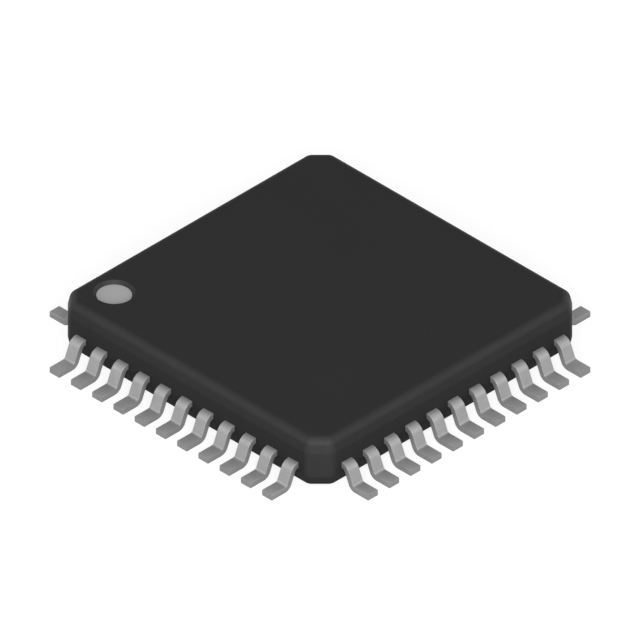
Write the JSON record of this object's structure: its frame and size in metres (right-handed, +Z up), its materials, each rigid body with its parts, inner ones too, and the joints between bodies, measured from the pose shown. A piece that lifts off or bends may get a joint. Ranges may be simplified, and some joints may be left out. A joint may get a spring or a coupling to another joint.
{
  "type": "integrated circuit",
  "caption": "Low quad flat package: a chip on a lead frame in a square black moulded body, with gull-wing leads on all sides.",
  "frame": {"origin": "the middle of the package on the plane of the board, under the centre of the body", "axes": "+Z up through the body, +Y towards the side of pins 34 to 44, -X towards the side of pins 1 to 11; pin one and its dimple are at -X, +Y"},
  "size_m": [0.012, 0.012, 0.0016],
  "materials": {
    "mould_compound": "matt moulded epoxy",
    "plated_lead": "satin tin plating on copper strip",
    "marking_ink": "matt pale grey ink",
    "bare_leadframe": "bare copper alloy strip",
    "attach_adhesive": "silver-filled adhesive",
    "silicon": "polished silicon",
    "bond_wire": "drawn gold wire"
  },
  "bodies": {
    "root": {"mould_body": "mould_compound", "pin_one_dot": "marking_ink", "die_pad": "bare_leadframe", "die_attach": "attach_adhesive", "silicon_die": "silicon", "bond_wires_west": "bond_wire", "bond_wires_south": "bond_wire", "bond_wires_east": "bond_wire", "bond_wires_north": "bond_wire", "lead_01": "plated_lead", "lead_02": "plated_lead", "lead_03": "plated_lead", "lead_04": "plated_lead", "lead_05": "plated_lead", "lead_06": "plated_lead", "lead_07": "plated_lead", "lead_08": "plated_lead", "lead_09": "plated_lead", "lead_10": "plated_lead", "lead_11": "plated_lead", "lead_12": "plated_lead", "lead_13": "plated_lead", "lead_14": "plated_lead", "lead_15": "plated_lead", "lead_16": "plated_lead", "lead_17": "plated_lead", "lead_18": "plated_lead", "lead_19": "plated_lead", "lead_20": "plated_lead", "lead_21": "plated_lead", "lead_22": "plated_lead", "lead_23": "plated_lead", "lead_24": "plated_lead", "lead_25": "plated_lead", "lead_26": "plated_lead", "lead_27": "plated_lead", "lead_28": "plated_lead", "lead_29": "plated_lead", "lead_30": "plated_lead", "lead_31": "plated_lead", "lead_32": "plated_lead", "lead_33": "plated_lead", "lead_34": "plated_lead", "lead_35": "plated_lead", "lead_36": "plated_lead", "lead_37": "plated_lead", "lead_38": "plated_lead", "lead_39": "plated_lead", "lead_40": "plated_lead", "lead_41": "plated_lead", "lead_42": "plated_lead", "lead_43": "plated_lead", "lead_44": "plated_lead"}
  },
  "joints": []
}
